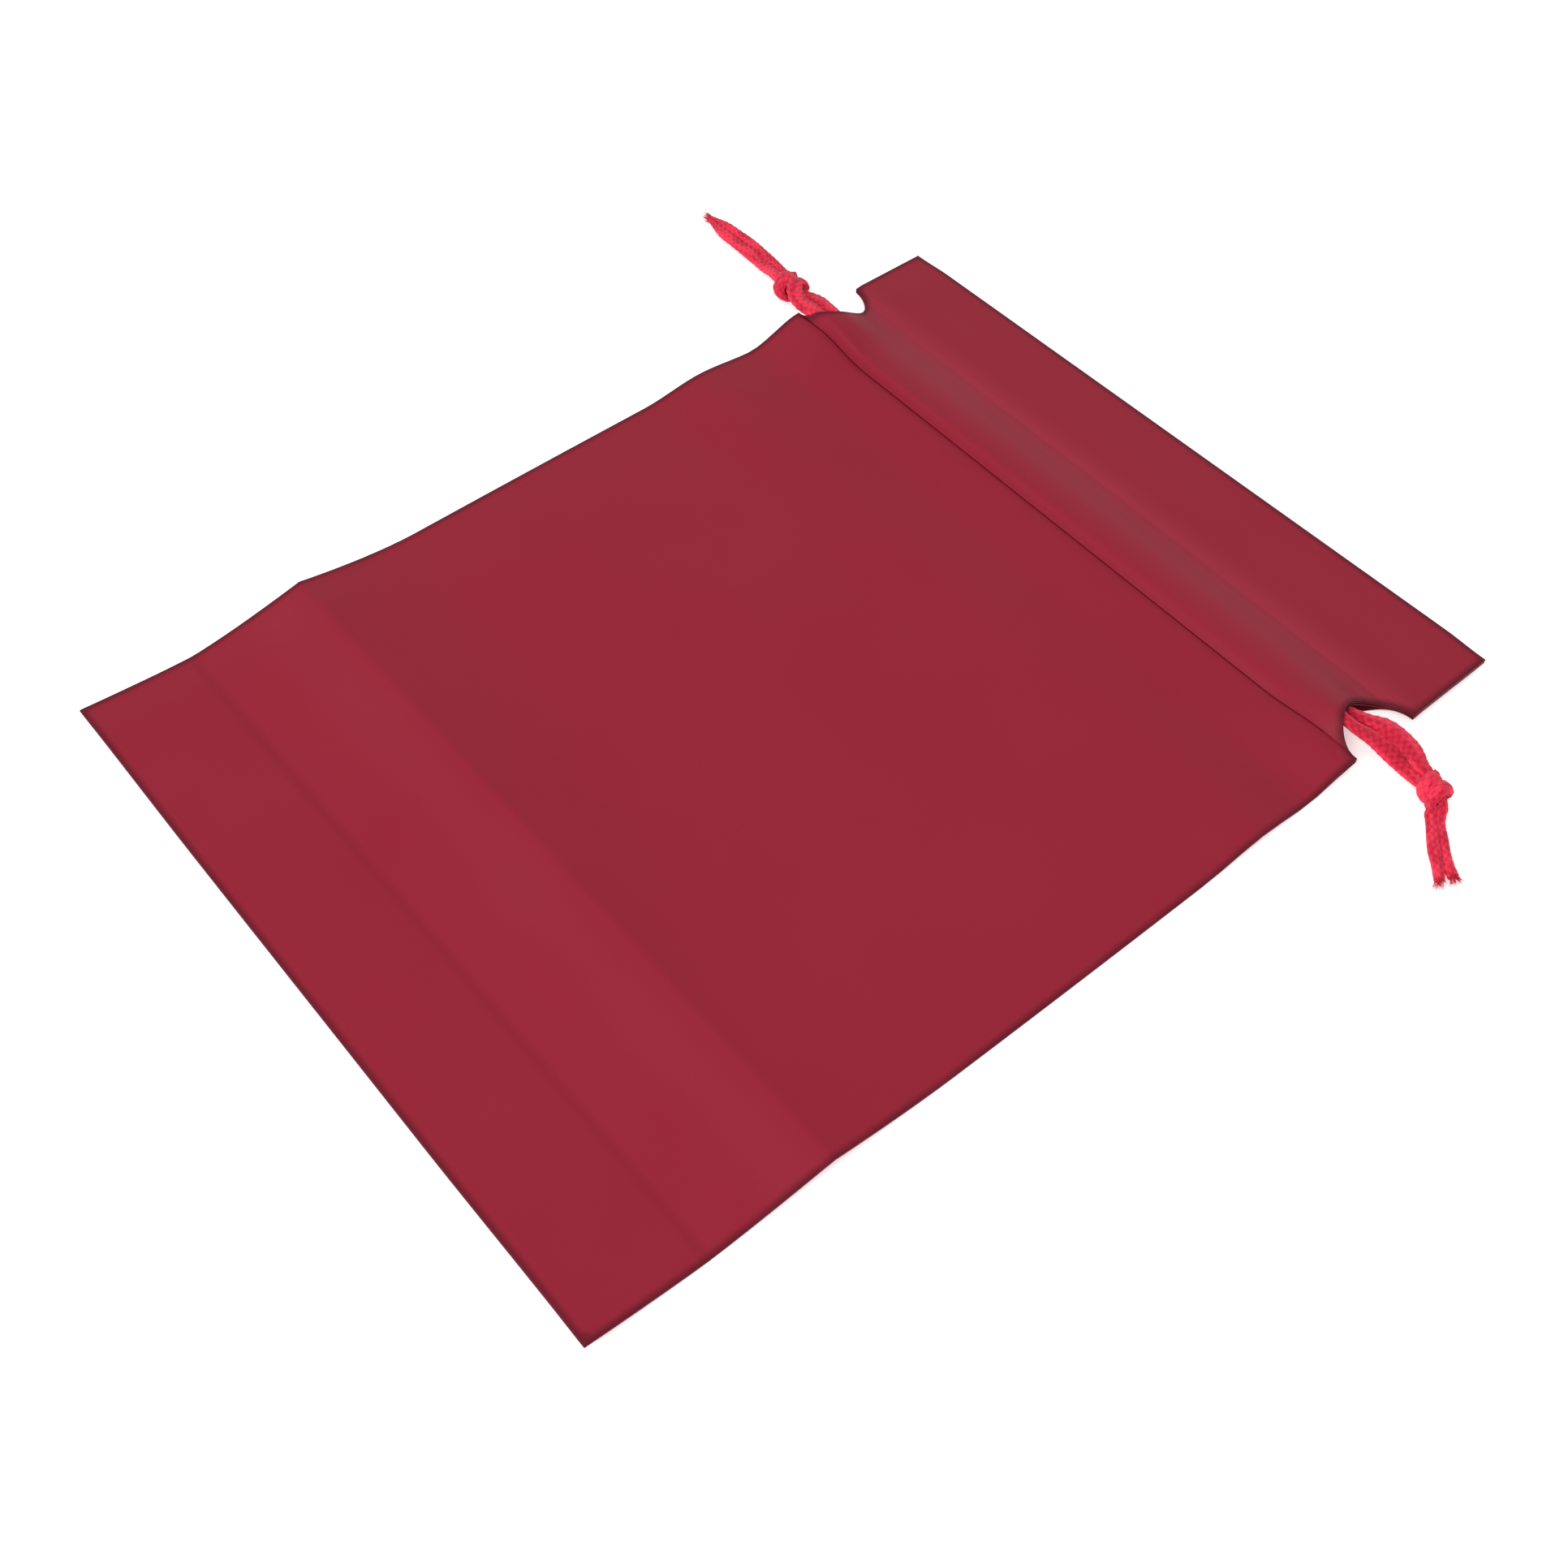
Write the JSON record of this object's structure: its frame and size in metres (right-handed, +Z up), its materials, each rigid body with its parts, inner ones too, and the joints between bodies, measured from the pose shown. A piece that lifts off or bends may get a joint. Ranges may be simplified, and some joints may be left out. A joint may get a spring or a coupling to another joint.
{
  "type": "kinchaku drawstring pouch",
  "caption": "Flat pouch of thin matte film with welded sides, a frilled mouth and a drawstring channel, closed by cords knotted outside each side notch.",
  "frame": {"origin": "on the supporting surface, under the middle of the pouch's outline without its cords", "axes": "+X across the pouch to the right, +Y from the folded bottom to the mouth, +Z up out of the front wall"},
  "size_m": [0.2167, 0.197, 0.0065],
  "materials": {
    "film": "smooth wine-red film with a soft satin sheen",
    "cord": "soft braided cord, bright crimson"
  },
  "bodies": {
    "root": {"pouch": "film", "front_drawstring": "cord", "rear_drawstring": "cord"}
  },
  "joints": []
}
